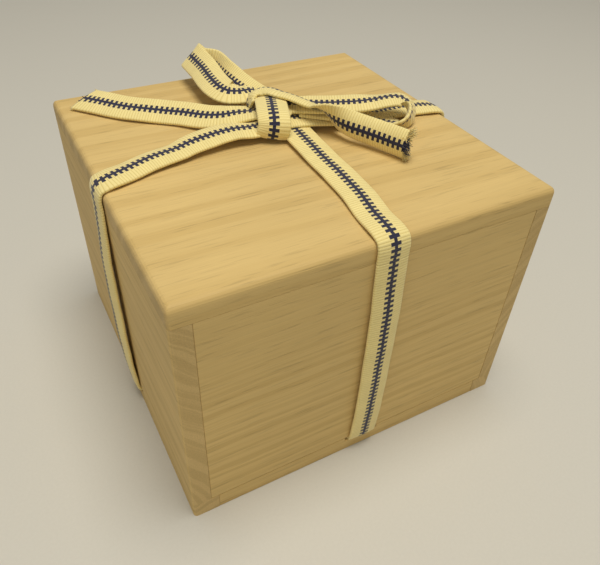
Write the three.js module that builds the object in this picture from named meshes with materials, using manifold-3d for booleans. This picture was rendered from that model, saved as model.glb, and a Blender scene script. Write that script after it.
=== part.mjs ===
// A square storage box of paulownia wood with a battened lid, tied with a flat woven cord
// that ends in a bow on the lid, and the glass tea bowl that it holds, standing in its
// wrapping cloth. Millimetres, +Z up. The origin is the middle of the face the box rests on,
// and the front of the box faces -Y.
import * as THREE from "three";
import { mergeVertices } from "three/addons/utils/BufferGeometryUtils.js";
import Module from "manifold-3d";

// Box
const boxWidth = 142;
const boxDepth = 141;
const boxHeight = 105;
const wallThickness = 7;
const baseThickness = 6;
const lidThickness = 7.5;
const uprightEdgeRadius = 1.5;
const lidEdgeRadius = 2.5;
const glueLine = 0.05;

// Foot ring under the walls, with a groove at the middle of each side for the cord
const footHeight = 7.5;
const footWidth = 10;
const grooveSideClearance = 1.4;

// Battens under the lid, which drop inside the walls
const battenWidth = 8;
const battenHeight = 7;
const battenLeadIn = 1;
const lidFit = 0.5;

// Flat woven cord
const cordWidth = 12.2;
const cordThickness = 1.3;
const cordClearance = 0.3;

// Where the cord runs on each side of the box: its shift from the middle of that side,
// and how far it stands off the wall halfway up
const leftRun = -3;
const rightRun = -0.8;
const frontRun = 1.4;
const backRun = 2.4;
const cordBulge = 0.8;
const bulgeAtQuarter = 0.75;

// How far the cord is bowed across its width, in radians: at the lid's edge, on the left and
// right walls and on the front and back walls
const bowAtEdge = 0.3;
const bowOnSides = 0.9;
const bowOnEnds = 0.5;

// The lump inside the knot
const coreLength = 17;
const coreDepth = 18;
const coreHeight = 7;
const coreX = 1;
const coreY = 9;
const coreRise = 6.8;
const knotTurn = 0.495;

// Glass tea bowl, with the room between its rim and the cloth and between its rim and the
// battens over it
const bowlSideRoom = 2.6;
const bowlHeadroom = 4.35;
const bowlWall = 3.4;
const bowlFloor = 7;
const bowlHipInset = 5;
const bowlHipHeight = 30;
const bowlFootRadius = 27;
const bowlFootWall = 5;
const bowlFootHeight = 6;

// Wrapping cloth, laid in the box under the bowl and up the walls, with the room between its
// upper edge and the battens
const clothThickness = 1.6;
const clothFloor = 2;
const clothHeadroom = 10.65;
const clothCornerRadius = 15;
const clothClearance = 0.3;

// Fineness of the faceted shapes
const cornerSteps = 5;
const bowlSegments = 36;
const profileSteps = 4;
const stopSteps = 3;
const sectionSteps = 4;
const lumpSegments = 16;
const lumpRings = 10;

// Heights and insides that follow from the sizes above
const innerWidth = boxWidth - 2 * wallThickness;
const innerDepth = boxDepth - 2 * wallThickness;
const lidUnderside = boxHeight - lidThickness;
const floorHeight = footHeight + glueLine + baseThickness;
const grooveDepth = cordThickness + 2 * cordClearance;
const grooveWidth = cordWidth + 2 * grooveSideClearance;
const cordLevel = footHeight - cordClearance - cordThickness / 2;
const cordOffset = cordClearance + cordThickness / 2;
const battenBottom = lidUnderside - battenHeight;
const clothBottom = floorHeight + clothClearance;
const clothHeight = battenBottom - clothHeadroom - clothBottom;
const clothInside = Math.min(innerWidth, innerDepth) - 2 * (clothClearance + clothThickness);
const bowlBottom = clothBottom + clothFloor + clothClearance;
const bowlHeight = battenBottom - bowlHeadroom - bowlBottom;
const bowlRimRadius = clothInside / 2 - bowlSideRoom;
const bowlHipRadius = bowlRimRadius - bowlHipInset;

const wood = { color: 0xcbb07c, roughness: 0.72, metalness: 0 };
const sideWood = { color: 0xc2a672, roughness: 0.75, metalness: 0 };
const innerWood = { color: 0xd6bf90, roughness: 0.75, metalness: 0 };
const weave = { color: 0xe3d38d, roughness: 0.85, metalness: 0 };
const glass = { color: 0xbfe0dc, roughness: 0.05, metalness: 0, transparent: true, opacity: 0.4 };
const cotton = { color: 0xe0b44c, roughness: 0.9, metalness: 0 };

// Stops of the cord on the lid: x and y from the middle of the box, height above the lid, the
// direction across the cord, and how far the cord is bowed across its width, in radians.
const frontBackStops = [
  [2.2, -58, 1.6, -1, 0, 0, 0.5],
  [4, -46, 1.8, -1, 0, 0, 0.5],
  [4.7, -34, 1.9, -1, 0, 0, 0.5],
  [4.9, -22, 2, -1, 0, 0, 0.4],
  [5.3, -10, 2.2, -1, 0, 0, 0.3],
  [5.6, 0, 2.4, -1, 0, 0, 0.1],
  [5.6, 8, 2.4, -1, 0, 0, 0],
  [5.4, 18, 2.2, -1, 0, 0, 0.1],
  [4.4, 34, 1.9, -1, 0, 0, 0.4],
  [3.2, 52, 1.7, -1, 0, 0, 0.5],
];
const leftRightStops = [
  [-60, -0.6, 2.2, 0, 1, 0, 0.8],
  [-52, 2, 2.6, 0, 1, 0, 0.9],
  [-40, 4.5, 3, 0, 1, 0, 0.9],
  [-35.7, 5.6, 3.4, 0, 1, 0.05, 0.8],
  [-28.8, 6.6, 3.9, 0, 1, 0.08, 0.6],
  [-23.1, 7.2, 4.2, 0, 1, 0.05, 0.5],
  [-16.7, 7.2, 4.2, 0, 1, 0.02, 0.4],
  [-10.9, 6.4, 4.1, 0, 1, 0, 0.7],
  [-5, 6.6, 4.3, 0, 1, 0, 1.1],
  [3, 7, 4.6, 0, 1, 0, 0.8],
  [11.4, 5.9, 4.1, 0, 1, 0, 0.4],
  [22.3, 3.8, 3.2, 0, 1, 0, 0.6],
  [33.8, 2.4, 2.6, 0, 1, 0, 0.8],
  [46.5, 1.9, 2.4, 0, 1, 0, 0.8],
  [60, 0.9, 2.1, 0, 1, 0, 0.7],
];
const bandStops = [
  [-5.1, -0.6, 2, -0.88, 0.47, 0, 0.3],
  [-5.2, -1.5, 3.7, -0.88, 0.47, 0, 0.5],
  [-4.9, -1.8, 5.8, -0.88, 0.47, 0, 0.6],
  [-4.4, -1.1, 8, -0.88, 0.47, 0, 0.6],
  [-3.6, 1.1, 9.6, -0.88, 0.47, 0, 0.5],
  [-2.2, 5.1, 10.6, -0.88, 0.47, 0, 0.4],
  [0.2, 11.3, 10.6, -0.88, 0.47, 0, 0.4],
  [3.3, 19.7, 9.2, -0.88, 0.47, 0, 0.3],
];
const leftLoopStops = [
  [-2.2, 29.2, 8, 0.28, 0.95, 0.1, -1.1],
  [-3.7, 28.9, 8.1, 0.26, 0.95, 0.14, -1],
  [-6.8, 30, 8.1, 0.41, 0.89, 0.22, -0.8],
  [-9.5, 31.5, 8.4, 0.76, 0.56, 0.33, -0.4],
  [-11.1, 35.3, 8.8, 0.94, 0.14, 0.32, -0.3],
  [-11.5, 42.7, 9.4, 0.93, -0.03, 0.36, -0.4],
  [-11.1, 52.3, 10.2, 0.86, -0.12, 0.5, -0.4],
  [-11.2, 60.5, 10.7, 0.78, -0.1, 0.62, -0.2],
  [-11.3, 65.4, 11, 0.72, -0.1, 0.7, 0],
  [-10.2, 67.6, 10.3, 0.71, 0, 0.71, 0],
  [-9.1, 66.1, 9.3, 0.64, 0, 0.77, 0],
  [-8, 61.2, 9.2, 0.35, 0.02, 0.93, 0.1],
  [-3.8, 57.9, 8.8, 0.35, 0.05, 0.93, 0.1],
  [-3.4, 48.3, 8.2, 0.6, 0.05, 0.8, 0.1],
  [-2.2, 38.9, 7.4, 0.86, 0.11, 0.5, 0.1],
  [-0.2, 31.4, 6.4, 0.87, 0.2, 0.46, 0.1],
];
const rightLoopStops = [
  [6.8, 13.1, 7.4, 0.43, 0.9, 0.06, 0.3],
  [13.4, 9.8, 7.9, 0.46, 0.88, 0.1, 0.4],
  [19.5, 6.4, 8.2, 0.46, 0.88, 0.13, 0.4],
  [25.7, 3.3, 8.5, 0.45, 0.88, 0.13, 0.4],
  [30.9, 0.4, 9, 0.44, 0.89, 0.13, 0.4],
  [36.4, -2.1, 9.8, 0.36, 0.93, 0.04, 0.6],
  [42.2, -4, 10.6, 0.33, 0.94, -0.07, 0.9],
  [46.3, -5.5, 10.8, 0.4, 0.92, -0.05, 0.8],
  [49, -7, 10.1, 0.69, 0.73, -0.05, 0.6],
  [50, -9.2, 8.6, 0.88, 0.31, -0.37, 0.4],
  [49.2, -11.4, 6.9, 0.54, 0.08, -0.84, 0.2],
  [46.3, -13.8, 5.8, 0.11, 0.4, -0.91, 0.1],
  [43.2, -14.3, 4.9, 0.35, 0.78, -0.52, 0.1],
  [41, -12.5, 4.1, 0.72, 0.67, -0.21, 0.1],
  [38.5, -9.6, 3.7, 0.77, 0.63, -0.09, 0.1],
  [35.4, -5.8, 3.5, 0.71, 0.7, 0, 0.1],
  [31.2, -2.2, 4.1, 0.6, 0.8, 0.05, 0.1],
  [25.6, 1.6, 4.8, 0.56, 0.83, 0.05, 0.1],
  [19.6, 5.5, 5.3, 0.54, 0.84, 0.06, 0.1],
  [12.3, 10, 5.6, 0.52, 0.85, 0.02, 0.1],
];
const leftTailStops = [
  [-60, 58, 3.4, 0.5, 0.7, 0.3, 0.3],
  [-56, 53.5, 3.4, 0.45, 0.75, 0.3, 0.3],
  [-47, 43.7, 3.4, 0.45, 0.75, 0.3, 0.3],
  [-29.7, 30.6, 3.4, 0.59, 0.72, 0.35, 0.3],
  [-22.2, 23.2, 3.9, 0.6, 0.73, 0.33, 0.3],
  [-16.8, 19.4, 4.5, 0.41, 0.87, 0.26, 0.3],
  [-10.9, 17.4, 5.2, 0.34, 0.94, 0.08, 0.4],
  [-5.9, 15.3, 5.8, 0.33, 0.94, -0.06, 0.4],
];
const rightTailStops = [
  [-4.7, 18, 5.2, 0.45, 0.52, -0.72, 1.4],
  [-5, 20.7, 7, 0.16, 0.66, -0.73, 1.7],
  [-3.7, 21.9, 9, 0.21, 0.72, -0.66, 1.8],
  [-0.6, 22.5, 10.4, 0.21, 0.86, -0.47, 1.8],
  [2.5, 21.6, 11.2, 0.5, 0.78, -0.38, 1.6],
  [5.1, 19.3, 11.4, 0.74, 0.58, -0.35, 1.4],
  [7, 15.8, 11.2, 0.75, 0.54, -0.39, 1.3],
  [9.5, 12.7, 10.8, 0.66, 0.6, -0.46, 1.4],
  [12.2, 9.4, 10.2, 0.68, 0.57, -0.47, 1.5],
  [14.6, 5.7, 9.7, 0.7, 0.52, -0.49, 1.5],
  [16.4, 2.7, 9.2, 0.74, 0.39, -0.55, 1.3],
  [17.4, -1.1, 8.6, 0.64, 0.24, -0.73, 0.5],
  [18, -5.3, 7.9, 0.35, 0.22, -0.91, -0.6],
  [19, -8.8, 7.4, 0.1, 0.15, -0.98, -1.5],
  [20.9, -13, 7, -0.08, 0.05, -1, -2.1],
  [23.6, -17, 6.6, -0.14, -0.01, -0.99, -2.2],
  [26.8, -22.5, 6.3, -0.15, -0.04, -0.99, -2.1],
  [29.4, -27.4, 6.1, -0.13, -0.04, -0.99, -1.9],
  [31.6, -32.4, 6, -0.13, -0.04, -0.99, -1.8],
];

const wasm = await Module();
wasm.setup();

// Booleans

function toSolid(geometry) {
  const bare = new THREE.BufferGeometry();
  bare.setAttribute("position", geometry.getAttribute("position"));
  bare.setIndex(geometry.index);
  const merged = mergeVertices(bare, 1e-4);
  const mesh = new wasm.Mesh({
    numProp: 3,
    vertProperties: new Float32Array(merged.getAttribute("position").array),
    triVerts: new Uint32Array(merged.index.array),
  });
  return new wasm.Manifold(mesh);
}

function toGeometry(solid) {
  const mesh = solid.getMesh();
  const geometry = new THREE.BufferGeometry();
  geometry.setAttribute("position", new THREE.BufferAttribute(mesh.vertProperties, 3));
  geometry.setIndex(new THREE.BufferAttribute(mesh.triVerts, 1));
  geometry.computeVertexNormals();
  return geometry;
}

function cut(geometry, ...tools) {
  const left = tools.reduce((solid, tool) => solid.subtract(toSolid(tool)), toSolid(geometry));
  return toGeometry(left);
}

// A piece of cord cut back from its neighbours. What a neighbour severs beyond it is left out.
function cutBack(geometry, ...tools) {
  const left = tools.reduce((solid, tool) => solid.subtract(toSolid(tool)), toSolid(geometry));
  const pieces = left.decompose().sort((one, other) => other.volume() - one.volume());
  return toGeometry(pieces[0]);
}

// Shapes

// A rectangle centred on the origin, with a radius for each side's pair of corners.
function roundedRectangle(width, depth, leftRadius, rightRadius) {
  const x = width / 2;
  const y = depth / 2;
  const shape = new THREE.Shape();
  shape.moveTo(-x + leftRadius, -y);
  shape.lineTo(x - rightRadius, -y);
  if (rightRadius > 0) shape.absarc(x - rightRadius, -y + rightRadius, rightRadius, -Math.PI / 2, 0);
  shape.lineTo(x, y - rightRadius);
  if (rightRadius > 0) shape.absarc(x - rightRadius, y - rightRadius, rightRadius, 0, Math.PI / 2);
  shape.lineTo(-x + leftRadius, y);
  if (leftRadius > 0) shape.absarc(-x + leftRadius, y - leftRadius, leftRadius, Math.PI / 2, Math.PI);
  shape.lineTo(-x, -y + leftRadius);
  if (leftRadius > 0) shape.absarc(-x + leftRadius, -y + leftRadius, leftRadius, Math.PI, 1.5 * Math.PI);
  return shape;
}

// A board that stands on z = 0, with its upright corners rounded.
function board(width, depth, height, leftRadius = 0, rightRadius = leftRadius) {
  const outline = roundedRectangle(width, depth, leftRadius, rightRadius);
  return new THREE.ExtrudeGeometry(outline, {
    depth: height,
    bevelEnabled: false,
    curveSegments: cornerSteps,
  });
}

// A closed body through rings of points, each ring as long as the next, with flat ends.
function loft(rings) {
  const count = rings[0].length;
  const positions = rings.flat().flatMap((point) => [point.x, point.y, point.z]);
  const index = [];
  for (let ring = 0; ring < rings.length - 1; ring += 1) {
    for (let side = 0; side < count; side += 1) {
      const a = ring * count + side;
      const b = ring * count + ((side + 1) % count);
      index.push(a, b, b + count, a, b + count, a + count);
    }
  }
  const last = (rings.length - 1) * count;
  for (let side = 1; side < count - 1; side += 1) {
    index.push(0, side + 1, side);
    index.push(last, last + side, last + side + 1);
  }
  const geometry = new THREE.BufferGeometry();
  geometry.setAttribute("position", new THREE.Float32BufferAttribute(positions, 3));
  geometry.setIndex(index);
  geometry.computeVertexNormals();
  return geometry;
}

// A board on z = 0 with rounded upright corners, whose upper edges are rounded too.
function easedBoard(width, depth, height, cornerRadius, edgeRadius) {
  const ring = (inset, z) => {
    const radius = Math.max(cornerRadius - inset, cornerRadius / 4);
    const points = [];
    for (let corner = 0; corner < 4; corner += 1) {
      const diagonal = (corner - 0.5) * (Math.PI / 2);
      const x = Math.sign(Math.cos(diagonal)) * (width / 2 - inset - radius);
      const y = Math.sign(Math.sin(diagonal)) * (depth / 2 - inset - radius);
      for (let step = 0; step <= cornerSteps; step += 1) {
        const angle = diagonal + (step / cornerSteps - 0.5) * (Math.PI / 2);
        points.push(new THREE.Vector3(x + radius * Math.cos(angle), y + radius * Math.sin(angle), z));
      }
    }
    return points;
  };
  const rings = [ring(0, 0)];
  for (let step = 0; step <= cornerSteps; step += 1) {
    const angle = (step / cornerSteps) * (Math.PI / 2);
    const inset = edgeRadius * (1 - Math.cos(angle));
    rings.push(ring(inset, height - edgeRadius + edgeRadius * Math.sin(angle)));
  }
  return loft(rings);
}

// A cut across the cord, as points across (u) and out of (v) its face, bowed with the crest at
// v = 0. A margin makes it that much larger all round.
function cordSection(bow, margin) {
  const angle = Math.abs(bow) < 0.01 ? 0.01 : bow;
  const radius = cordWidth / angle;
  const share = 1 + (2 * margin) / cordWidth;
  const rim = (side) => {
    const points = [];
    for (let step = 0; step <= sectionSteps; step += 1) {
      const turn = angle * share * (step / sectionSteps - 0.5);
      const reach = radius + side * (cordThickness / 2 + margin);
      points.push([reach * Math.sin(turn), reach * Math.cos(turn) - radius]);
    }
    return points;
  };
  return [...rim(-1), ...rim(1).reverse()];
}

// A flat cord along a route. Each stop of the route is a point, the direction across the cord
// and its bow. A margin makes it that much larger, to cut room for it in a neighbour.
function ribbon(route, margin = 0) {
  const middle = new THREE.CatmullRomCurve3(
    route.map((stop) => new THREE.Vector3(stop[0], stop[1], stop[2])),
  );
  const across = new THREE.CatmullRomCurve3(
    route.map((stop) => new THREE.Vector3(stop[3], stop[4], stop[5]).normalize()),
  );
  const rings = [];
  for (let step = 0; step <= stopSteps * (route.length - 1); step += 1) {
    const share = step / (stopSteps * (route.length - 1));
    const before = Math.min(Math.floor(step / stopSteps), route.length - 2);
    const past = step / stopSteps - before;
    const bow = THREE.MathUtils.lerp(route[before][6], route[before + 1][6], past);
    const point = middle.getPoint(share);
    const along = middle.getTangent(share);
    const side = across.getPoint(share);
    side.addScaledVector(along, -side.dot(along)).normalize();
    const up = new THREE.Vector3().crossVectors(along, side);
    const inPlace = ([u, v]) => point.clone().addScaledVector(side, u).addScaledVector(up, v);
    rings.push(cordSection(bow, margin).map(inPlace));
  }
  return loft(rings);
}

// Nodes

function node(name, geometry, material, x = 0, y = 0, z = 0) {
  const mesh = new THREE.Mesh(geometry, new THREE.MeshStandardMaterial(material));
  mesh.name = name;
  mesh.position.set(x, y, z);
  return mesh;
}

function walls() {
  const height = lidUnderside - footHeight - 2 * glueLine;
  const bottom = footHeight + glueLine;
  const sideX = (boxWidth - wallThickness) / 2;
  const endY = (boxDepth - wallThickness) / 2;
  const endWidth = innerWidth - 2 * glueLine;
  const left = board(wallThickness, boxDepth, height, uprightEdgeRadius, 0);
  const right = board(wallThickness, boxDepth, height, 0, uprightEdgeRadius);
  const end = board(endWidth, wallThickness, height);
  return [
    node("wall_left", left, sideWood, -sideX, 0, bottom),
    node("wall_right", right, sideWood, sideX, 0, bottom),
    node("wall_front", end, wood, 0, -endY, bottom),
    node("wall_back", end, wood, 0, endY, bottom),
  ];
}

function baseBoard() {
  const base = board(innerWidth - 2 * glueLine, innerDepth - 2 * glueLine, baseThickness);
  return node("base_board", base, innerWood, 0, 0, footHeight + glueLine);
}

// A foot strip with the cord's groove across its upper face.
function footStrip(width, depth, grooveAcross, shift, leftRadius, rightRadius) {
  const strip = board(width, depth, footHeight, leftRadius, rightRadius);
  const cutter = 2 * footWidth;
  const groove = grooveAcross === "x"
    ? board(cutter, grooveWidth, 2 * grooveDepth)
    : board(grooveWidth, cutter, 2 * grooveDepth);
  const alongX = grooveAcross === "x" ? 0 : shift;
  const alongY = grooveAcross === "x" ? shift : 0;
  groove.translate(alongX, alongY, footHeight - grooveDepth);
  return cut(strip, groove);
}

function feet() {
  const sideX = (boxWidth - footWidth) / 2;
  const endY = (boxDepth - footWidth) / 2;
  const endWidth = boxWidth - 2 * footWidth - 2 * glueLine;
  const left = footStrip(footWidth, boxDepth, "x", leftRun, uprightEdgeRadius, 0);
  const right = footStrip(footWidth, boxDepth, "x", rightRun, 0, uprightEdgeRadius);
  const front = footStrip(endWidth, footWidth, "y", frontRun, 0, 0);
  const back = footStrip(endWidth, footWidth, "y", backRun, 0, 0);
  return [
    node("foot_left", left, sideWood, -sideX),
    node("foot_right", right, sideWood, sideX),
    node("foot_front", front, wood, 0, -endY),
    node("foot_back", back, wood, 0, endY),
  ];
}

// A batten along x with the lower outer edge, at -y, cut back so that the lid finds the walls.
function batten(length) {
  const shape = new THREE.Shape();
  shape.moveTo(-battenWidth / 2 + battenLeadIn, -battenHeight);
  shape.lineTo(battenWidth / 2, -battenHeight);
  shape.lineTo(battenWidth / 2, 0);
  shape.lineTo(-battenWidth / 2, 0);
  shape.lineTo(-battenWidth / 2, -battenHeight + battenLeadIn);
  shape.closePath();
  const geometry = new THREE.ExtrudeGeometry(shape, { depth: length, bevelEnabled: false });
  geometry.translate(0, 0, -length / 2);
  geometry.rotateX(Math.PI / 2);
  geometry.rotateZ(Math.PI / 2);
  return geometry;
}

function lid() {
  const top = easedBoard(boxWidth, boxDepth, lidThickness, uprightEdgeRadius, lidEdgeRadius);
  const x = innerWidth / 2 - lidFit - battenWidth / 2;
  const y = innerDepth / 2 - lidFit - battenWidth / 2;
  const z = lidUnderside - glueLine;
  const side = batten(innerDepth - 2 * lidFit);
  const end = batten(2 * x - battenWidth - 2 * glueLine);
  const battens = [
    node("batten_left", side, innerWood, -x, 0, z),
    node("batten_right", side, innerWood, x, 0, z),
    node("batten_front", end, innerWood, 0, -y, z),
    node("batten_back", end, innerWood, 0, y, z),
  ];
  battens[0].rotation.z = -Math.PI / 2;
  battens[1].rotation.z = Math.PI / 2;
  battens[3].rotation.z = Math.PI;
  return [node("lid_board", top, wood, 0, 0, lidUnderside), ...battens];
}

// Cord

// How far a bowed cord's edges lie below its crest.
function sagitta(bow) {
  return (cordWidth / bow) * (1 - Math.cos(bow / 2));
}

// A point in a side's own frame: its distance out from the middle of the box, its shift along
// that side and its height.
const place = {
  left: (out, shift, z) => [-out, shift, z],
  right: (out, shift, z) => [out, shift, z],
  front: (out, shift, z) => [shift, -out, z],
  back: (out, shift, z) => [shift, out, z],
};

// The direction across a cord that runs up a side with its crest facing out.
const acrossSide = {
  left: [0, 1, 0],
  right: [0, -1, 0],
  front: [-1, 0, 0],
  back: [1, 0, 0],
};

// The stops that bring a cord up the lid's edge and over it.
function overEdge(side, half, shift, across) {
  const out = half + cordOffset + sagitta(bowAtEdge);
  const turn = half - lidEdgeRadius;
  const bend = out - turn;
  const slant = bend * Math.SQRT1_2;
  const level = boxHeight - lidEdgeRadius;
  return [
    [...place[side](out, shift, lidUnderside + cordClearance), ...across, bowAtEdge],
    [...place[side](out, shift, level), ...across, bowAtEdge],
    [...place[side](turn + slant, shift, level + slant), ...across, bowAtEdge],
    [...place[side](turn, shift, level + bend), ...across, bowAtEdge],
  ];
}

// The cord up one wall, from the groove to the lid.
function cordOnWall(side, half, shift, bow) {
  const bottom = cordLevel - cordThickness / 2;
  const top = lidUnderside - cordClearance;
  const stop = (share, bulge, bend) => [
    ...place[side](half + cordOffset + bulge + sagitta(bend), shift, bottom + share * (top - bottom)),
    ...acrossSide[side],
    bend,
  ];
  const route = [
    stop(0, 0, bowAtEdge),
    stop(1 / 4, bulgeAtQuarter * cordBulge, bow),
    stop(1 / 2, cordBulge, bow),
    stop(3 / 4, bulgeAtQuarter * cordBulge, bow),
    stop(1, 0, bowAtEdge),
  ];
  return node(`cord_side_${side}`, ribbon(route), weave);
}

function onLid(stops) {
  return stops.map(([x, y, rise, ...rest]) => [x, y, boxHeight + rise, ...rest]);
}

// The two lengths under the box. The one that runs front to back dips below the other.
function cordUnderBox() {
  const dip = cordThickness + cordClearance;
  const halfX = boxWidth / 2;
  const halfY = boxDepth / 2;
  const flat = (side, out, shift, z, across) => [...place[side](out, shift, z), ...across, 0];
  const sideways = (share) => THREE.MathUtils.lerp(leftRun, rightRun, share);
  const leftRight = [
    flat("left", halfX, leftRun, cordLevel, acrossSide.left),
    flat("left", halfX / 2, sideways(1 / 4), cordLevel, acrossSide.left),
    flat("right", halfX / 2, sideways(3 / 4), cordLevel, acrossSide.left),
    flat("right", halfX, rightRun, cordLevel, acrossSide.left),
  ];
  const frontBack = [
    flat("front", halfY, frontRun, cordLevel, acrossSide.front),
    flat("front", halfY - footWidth, frontRun, cordLevel, acrossSide.front),
    flat("front", 2 * cordWidth, frontRun, cordLevel - dip, acrossSide.front),
    flat("back", 2 * cordWidth, backRun, cordLevel - dip, acrossSide.front),
    flat("back", halfY - footWidth, backRun, cordLevel, acrossSide.front),
    flat("back", halfY, backRun, cordLevel, acrossSide.front),
  ];
  return [
    node("cord_under_left_right", ribbon(leftRight), weave),
    node("cord_under_front_back", ribbon(frontBack), weave),
  ];
}

// The lump of cord inside the knot, which the band wraps.
function knotCore() {
  const lump = new THREE.SphereGeometry(1, lumpSegments, lumpRings);
  lump.scale(coreLength / 2, coreDepth / 2, coreHeight / 2);
  lump.rotateZ(-knotTurn);
  lump.translate(coreX, coreY, boxHeight + coreRise);
  return lump;
}

// The cords on the lid and the bow, each cut back from those made before it.
function cordOnLid() {
  const halfX = boxWidth / 2;
  const halfY = boxDepth / 2;
  const frontBack = [
    ...overEdge("front", halfY, frontRun, acrossSide.front),
    ...onLid(frontBackStops),
    ...overEdge("back", halfY, backRun, acrossSide.front).reverse(),
  ];
  const leftRight = [
    ...overEdge("left", halfX, leftRun, acrossSide.left),
    ...onLid(leftRightStops),
    ...overEdge("right", halfX, rightRun, acrossSide.left).reverse(),
  ];
  const routes = {
    cord_top_front_back: frontBack,
    cord_top_left_right: leftRight,
    bow_knot_band: onLid(bandStops),
    bow_tail_right: onLid(rightTailStops),
    bow_loop_right: onLid(rightLoopStops),
    bow_loop_left: onLid(leftLoopStops),
    bow_tail_left: onLid(leftTailStops),
  };
  const made = [];
  const rooms = [];
  for (const [name, route] of Object.entries(routes)) {
    made.push(node(name, cutBack(ribbon(route), ...rooms), weave));
    rooms.push(ribbon(route, cordClearance));
  }
  made.push(node("bow_knot_core", cutBack(knotCore(), ...rooms), weave));
  return made;
}

// Bowl and cloth

// The bowl stands on its foot ring at z = 0 of its own frame. The profile runs from the axis
// under the bowl, round the foot, up the outside, over the rim and down the inside.
function teaBowl() {
  const rim = bowlWall / 2;
  const wallTop = bowlHeight - rim;
  const hip = bowlHipHeight;
  const innerHip = bowlHipRadius - bowlWall;
  const insideBottom = bowlFootHeight + bowlFloor;
  const profile = new THREE.Path();
  profile.moveTo(0, bowlFootHeight);
  profile.lineTo(bowlFootRadius - bowlFootWall, bowlFootHeight);
  profile.lineTo(bowlFootRadius - bowlFootWall, 0);
  profile.lineTo(bowlFootRadius, 0);
  profile.lineTo(bowlFootRadius, bowlFootHeight);
  profile.quadraticCurveTo(bowlHipRadius - bowlFootWall, bowlFootHeight + rim, bowlHipRadius, hip);
  profile.quadraticCurveTo(bowlRimRadius - rim, (hip + wallTop) / 2, bowlRimRadius, wallTop);
  profile.absarc(bowlRimRadius - rim, wallTop, rim, 0, Math.PI, false);
  profile.quadraticCurveTo(bowlRimRadius - rim - bowlWall, (hip + wallTop) / 2, innerHip, hip);
  profile.quadraticCurveTo(innerHip - bowlFootWall, insideBottom, 0, insideBottom);
  const bowl = new THREE.LatheGeometry(profile.getPoints(profileSteps), bowlSegments);
  bowl.rotateX(Math.PI / 2);
  return node("tea_bowl", bowl, glass, 0, 0, bowlBottom);
}

function wrappingCloth() {
  const width = innerWidth - 2 * clothClearance;
  const depth = innerDepth - 2 * clothClearance;
  const outside = board(width, depth, clothHeight, clothCornerRadius);
  const inside = board(
    width - 2 * clothThickness,
    depth - 2 * clothThickness,
    clothHeight,
    clothCornerRadius - clothThickness,
  );
  inside.translate(0, 0, clothFloor);
  return node("wrapping_cloth", cut(outside, inside), cotton, 0, 0, clothBottom);
}

const group = new THREE.Group();
group.add(...walls(), baseBoard(), ...feet(), ...lid());
group.add(...cordUnderBox(), ...cordOnLid());
group.add(
  cordOnWall("left", boxWidth / 2, leftRun, bowOnSides),
  cordOnWall("right", boxWidth / 2, rightRun, bowOnSides),
  cordOnWall("front", boxDepth / 2, frontRun, bowOnEnds),
  cordOnWall("back", boxDepth / 2, backRun, bowOnEnds),
);
group.add(teaBowl(), wrappingCloth());

export default group;
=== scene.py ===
import math

import bmesh
import bpy
import numpy as np
from mathutils import Matrix, Vector


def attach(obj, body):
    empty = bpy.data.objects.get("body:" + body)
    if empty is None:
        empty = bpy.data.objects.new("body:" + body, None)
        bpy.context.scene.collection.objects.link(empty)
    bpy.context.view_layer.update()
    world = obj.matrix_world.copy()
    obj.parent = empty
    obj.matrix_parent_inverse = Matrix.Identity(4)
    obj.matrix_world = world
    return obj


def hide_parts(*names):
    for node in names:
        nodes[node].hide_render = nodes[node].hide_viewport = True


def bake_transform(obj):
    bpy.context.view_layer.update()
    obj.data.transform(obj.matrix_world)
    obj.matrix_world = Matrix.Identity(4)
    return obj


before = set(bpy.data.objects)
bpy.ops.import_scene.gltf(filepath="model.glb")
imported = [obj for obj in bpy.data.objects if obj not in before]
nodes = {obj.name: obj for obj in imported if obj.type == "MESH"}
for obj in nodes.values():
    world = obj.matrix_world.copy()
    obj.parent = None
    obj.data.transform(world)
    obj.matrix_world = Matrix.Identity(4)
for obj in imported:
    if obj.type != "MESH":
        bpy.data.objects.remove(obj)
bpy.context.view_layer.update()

MM = 0.001

# Box
HALF_WIDTH = 71
HALF_DEPTH = 70.5
BOX_HEIGHT = 105
LID_UNDERSIDE = 97.5
LID_EDGE_RADIUS = 2.5
EASED_EDGE = 0.35
FOOT_SEAM = 5.9
LID_SEAM_GAP = 0.3

# Flat woven cord
CORD_WIDTH = 12.2
CORD_THICKNESS = 1.3
CORD_STANDOFF = 0.95
CORD_GROOVE_LEVEL = 6.55
CORD_BULGE = 0.8
BULGE_AT_QUARTER = 0.75
BOW_AT_EDGE = 0.3
ROW_STEP = 0.5
BAR_PITCH = 2.1
WRINKLE = 0.12
UPPER_POINTS = 25

# The cord's stripe: where its spine and its bars end, as shares of the cord's width
SPINE_EDGE = (0.04, 0.06)
BAR_EDGE = (0.145, 0.165)

# Sideways shift of each run of cord on its wall, at the foot, a quarter, half and three
# quarters of the way up, and at the lid
LEFT_SHIFTS = (-3, -3, -3, -3, -3)
RIGHT_SHIFTS = (-0.8, -0.8, -0.8, -0.8, -0.8)
FRONT_SHIFTS = (1.1, 1.5, 1.6, 1.7, 1.4)
BACK_SHIFTS = (2.4, 2.4, 2.4, 2.4, 2.4)
GROOVE_CUT = 4

# Loose threads at the cord's cut ends
THREAD_SIDES = 3
THREAD_JOINTS = 5
THREAD_RADIUS = 0.24
THREAD_CURL = 0.3
NAVY_THREADS = 0.16

# Lump of folds inside the knot
CORE_RADII = (7.0, 7.2, 3.0)
CORE_PLACE = (1.5, 11, 6.2)
CORE_TURN = -0.495
CORE_STRIPE_DROP = 4.2
CORE_RUN_RADIUS = 9

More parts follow.
